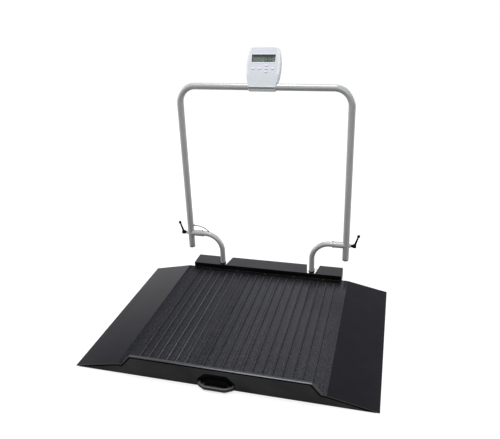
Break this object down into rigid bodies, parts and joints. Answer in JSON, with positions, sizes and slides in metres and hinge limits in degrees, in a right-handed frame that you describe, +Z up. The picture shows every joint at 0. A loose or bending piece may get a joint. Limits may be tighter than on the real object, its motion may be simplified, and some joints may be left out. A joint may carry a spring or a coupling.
{
  "type": "wheelchair scale",
  "caption": "Low platform scale with side ramps, front curb, fold-flat carry handle and a folding arch handrail that carries a tilting digital display.",
  "frame": {"origin": "on the floor, at the centre of the overall box", "axes": "+X to the right as seen from the front curb, across both ramps; +Y from the front curb to the handrail; +Z up"},
  "size_m": [1.165, 0.9252, 1.108],
  "materials": {
    "deck_coat": "fine-textured black powder coat",
    "skirt_coat": "satin charcoal powder coat",
    "frame_coat": "plain black paint",
    "rail_coat": "satin silver-grey powder coat",
    "zinc_steel": "zinc-plated steel",
    "cell_alloy": "machined aluminium alloy",
    "handle_alloy": "cast alloy, satin",
    "black_plastic": "moulded, lightly textured",
    "grey_plastic": "moulded grey nylon",
    "cream_plastic": "turned cream nylon",
    "case_white": "fine-textured blue-white ABS",
    "case_grey": "moulded dark grey ABS",
    "key_plastic": "smooth key caps",
    "lens_clear": "clear window",
    "lcd_glass": "reflective grey-green display module",
    "board_green": "circuit board",
    "cable_grey": "PVC cable sheath",
    "tyre_rubber": "solid rubber"
  },
  "bodies": {
    "platform": {"deck_plate": "deck_coat", "left_ramp": "deck_coat", "right_ramp": "deck_coat", "ramp_gussets": "frame_coat", "front_skirt": "skirt_coat", "rear_skirt": "skirt_coat", "frame_beams": "frame_coat", "load_cells": "cell_alloy", "foot_nuts": "zinc_steel", "junction_box": "grey_plastic", "junction_board": "board_green", "junction_lid": "grey_plastic", "cell_cables": "cable_grey", "handle_cup": "black_plastic", "handle_pivots": "zinc_steel", "rear_tray": "skirt_coat", "rear_cover": "skirt_coat", "cover_screws": "zinc_steel", "wheel_forks": "zinc_steel", "wheel_axles": "zinc_steel", "post_sockets": "zinc_steel", "socket_bolts": "zinc_steel", "left_post": "rail_coat", "right_post": "rail_coat", "stop_pins": "zinc_steel", "post_collars": "black_plastic", "clamp_nuts": "zinc_steel", "grommets": "tyre_rubber", "signal_cable": "cable_grey", "right_lead": "cable_grey"},
    "rail": {"handrail": "rail_coat", "pivot_sleeves": "rail_coat", "leg_plugs": "black_plastic", "thrust_washers": "cream_plastic", "leg_grommet": "tyre_rubber"},
    "display": {"display_front_shell": "case_white", "display_rear_shell": "case_white", "display_screws": "zinc_steel", "display_board": "board_green", "lcd_panel": "lcd_glass", "display_lens": "lens_clear", "display_bracket": "case_grey"},
    "key_unit": {"button_unit": "key_plastic"},
    "key_hold": {"button_hold": "key_plastic"},
    "key_up": {"button_up": "key_plastic"},
    "key_enter": {"button_enter": "key_plastic"},
    "key_down": {"button_down": "key_plastic"},
    "key_zero": {"button_zero": "key_plastic"},
    "left_clamp": {"left_clamp_stud": "zinc_steel"},
    "right_clamp": {"right_clamp_stud": "zinc_steel"},
    "left_grip": {"left_lever": "black_plastic"},
    "right_grip": {"right_lever": "black_plastic"},
    "bail": {"carry_handle": "handle_alloy"},
    "wheel_left": {"left_wheel": "grey_plastic"},
    "wheel_right": {"right_wheel": "grey_plastic"},
    "foot_front_left": {"front_left_foot": "zinc_steel"},
    "foot_front_right": {"front_right_foot": "zinc_steel"},
    "foot_rear_left": {"rear_left_foot": "zinc_steel"},
    "foot_rear_right": {"rear_right_foot": "zinc_steel"}
  },
  "joints": [
    {"name": "rail_fold", "type": "hinge", "parent": "platform", "child": "rail", "pos_m": [0, 0.3709, 0.2225], "axis": [1, 0, 0], "range_deg": [0, 90], "deforming": ["signal_cable"]},
    {"name": "display_tilt", "type": "hinge", "parent": "rail", "child": "display", "pos_m": [0, 0.3709, 0.946], "axis": [1, 0, 0], "range_deg": [-30, 45]},
    {"name": "press_unit", "type": "slide", "parent": "display", "child": "key_unit", "axis": [0, 0.8988, -0.4384], "range_m": [0, 0.0008], "stiffness_N_per_m": 1200, "springref_m": -0.0004},
    {"name": "press_hold", "type": "slide", "parent": "display", "child": "key_hold", "axis": [0, 0.8988, -0.4384], "range_m": [0, 0.0008], "stiffness_N_per_m": 1200, "springref_m": -0.0004},
    {"name": "press_up", "type": "slide", "parent": "display", "child": "key_up", "axis": [0, 0.8988, -0.4384], "range_m": [0, 0.0008], "stiffness_N_per_m": 1200, "springref_m": -0.0004},
    {"name": "press_enter", "type": "slide", "parent": "display", "child": "key_enter", "axis": [0, 0.8988, -0.4384], "range_m": [0, 0.0008], "stiffness_N_per_m": 1200, "springref_m": -0.0004},
    {"name": "press_down", "type": "slide", "parent": "display", "child": "key_down", "axis": [0, 0.8988, -0.4384], "range_m": [0, 0.0008], "stiffness_N_per_m": 1200, "springref_m": -0.0004},
    {"name": "press_zero", "type": "slide", "parent": "display", "child": "key_zero", "axis": [0, 0.8988, -0.4384], "range_m": [0, 0.0008], "stiffness_N_per_m": 1200, "springref_m": -0.0004},
    {"name": "left_clamp_turn", "type": "hinge", "parent": "rail", "child": "left_clamp", "pos_m": [-0.4, 0.3709, 0.2225], "axis": [-1, 0, 0], "range_deg": [0, 180]},
    {"name": "left_lever_lift", "type": "slide", "parent": "left_clamp", "child": "left_grip", "axis": [-1, 0, 0], "range_m": [0, 0.004], "stiffness_N_per_m": 500, "springref_m": -0.004},
    {"name": "right_clamp_turn", "type": "hinge", "parent": "rail", "child": "right_clamp", "pos_m": [0.4, 0.3709, 0.2225], "axis": [1, 0, 0], "range_deg": [0, 180]},
    {"name": "right_lever_lift", "type": "slide", "parent": "right_clamp", "child": "right_grip", "axis": [1, 0, 0], "range_m": [0, 0.004], "stiffness_N_per_m": 500, "springref_m": -0.004},
    {"name": "handle_fold", "type": "hinge", "parent": "platform", "child": "bail", "pos_m": [-0.004, -0.4335, 0.0126], "axis": [-1, 0, 0], "range_deg": [0, 90]},
    {"name": "left_wheel_roll", "type": "hinge", "parent": "platform", "child": "wheel_left", "pos_m": [-0.312, 0.4254, 0.032], "axis": [1, 0, 0], "continuous": true},
    {"name": "right_wheel_roll", "type": "hinge", "parent": "platform", "child": "wheel_right", "pos_m": [0.312, 0.4254, 0.032], "axis": [1, 0, 0], "continuous": true},
    {"name": "front_left_foot_adjust", "type": "slide", "parent": "platform", "child": "foot_front_left", "axis": [0, 0, -1], "range_m": [0, 0.008]},
    {"name": "front_right_foot_adjust", "type": "slide", "parent": "platform", "child": "foot_front_right", "axis": [0, 0, -1], "range_m": [0, 0.008]},
    {"name": "rear_left_foot_adjust", "type": "slide", "parent": "platform", "child": "foot_rear_left", "axis": [0, 0, -1], "range_m": [0, 0.008]},
    {"name": "rear_right_foot_adjust", "type": "slide", "parent": "platform", "child": "foot_rear_right", "axis": [0, 0, -1], "range_m": [0, 0.008]}
  ]
}
